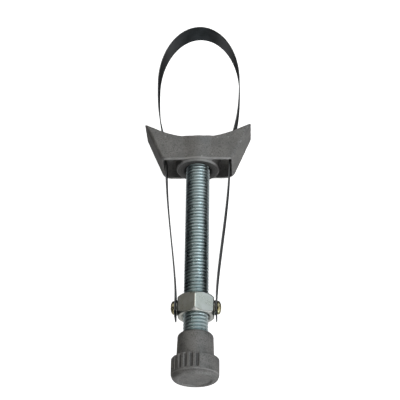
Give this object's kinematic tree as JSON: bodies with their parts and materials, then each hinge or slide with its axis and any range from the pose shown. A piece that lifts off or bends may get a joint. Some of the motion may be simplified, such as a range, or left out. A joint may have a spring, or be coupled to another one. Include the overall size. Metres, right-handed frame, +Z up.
{
  "type": "oil filter wrench",
  "caption": "Screw-type oil filter wrench: a cast knob turns a threaded rod in a saddle head, and the nut on it draws a steel band tight round the filter.",
  "frame": {"origin": "centre of the bounding box, on its lowest plane: the bench under the tool as it lies on its back", "axes": "+Y runs along the threaded rod from the knob to the band's loop, +Z is up off the bench across the band's width, and +X runs across the saddle"},
  "size_m": [0.072, 0.266, 0.0298],
  "materials": {
    "cast_alloy": "matte",
    "zinc_rod": "satin",
    "zinc_nut": "satin",
    "band_steel": "satin",
    "yellow_zinc": "satin",
    "dark_steel": "satin"
  },
  "bodies": {
    "head": {"head_casting": "cast_alloy"},
    "screw": {"threaded_rod": "zinc_rod", "knob": "cast_alloy", "knob_pin": "dark_steel", "thrust_washer": "zinc_nut", "retaining_clip": "dark_steel"},
    "nut": {"hex_nut": "zinc_nut", "steel_band": "band_steel", "band_washer_left": "zinc_nut", "band_washer_right": "zinc_nut", "band_screw_left": "yellow_zinc", "band_screw_right": "yellow_zinc"}
  },
  "joints": [
    {"name": "screw_spin", "type": "hinge", "parent": "head", "child": "screw", "pos_m": [0, 0, 0.01492], "axis": [0, 1, 0], "range_deg": [-9360, 1440]},
    {"name": "nut_travel", "type": "slide", "parent": "head", "child": "nut", "axis": [0, 1, 0], "range_m": [-0.00925, 0.06005]}
  ],
  "couplings": [
    {"joint": "nut_travel", "follows": "screw_spin", "m_per_rad": -0.0003675}
  ]
}
